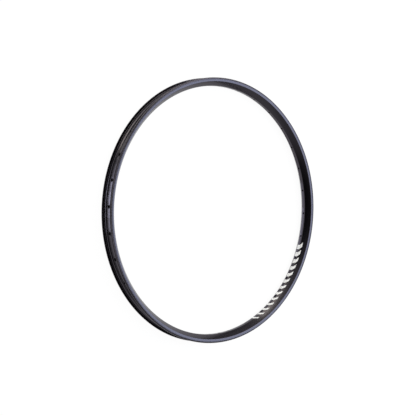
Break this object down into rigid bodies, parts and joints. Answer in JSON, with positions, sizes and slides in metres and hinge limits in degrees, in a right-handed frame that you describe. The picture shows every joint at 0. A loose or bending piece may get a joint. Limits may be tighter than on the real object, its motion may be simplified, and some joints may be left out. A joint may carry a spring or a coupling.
{
  "type": "bicycle rim",
  "caption": "Wide black anodised aluminium bicycle rim for disc brakes: a hollow ring with a tyre channel, drilled spoke bed and valve hole.",
  "frame": {"origin": "centre of the rim, on its axle line and in its middle plane", "axes": "+Z along the axle line; X and Y lie in the middle plane, with the valve hole towards -Y"},
  "size_m": [0.6339, 0.634, 0.0364],
  "materials": {
    "anodised": "satin black anodised"
  },
  "bodies": {
    "root": {"rim": "anodised"}
  },
  "joints": []
}
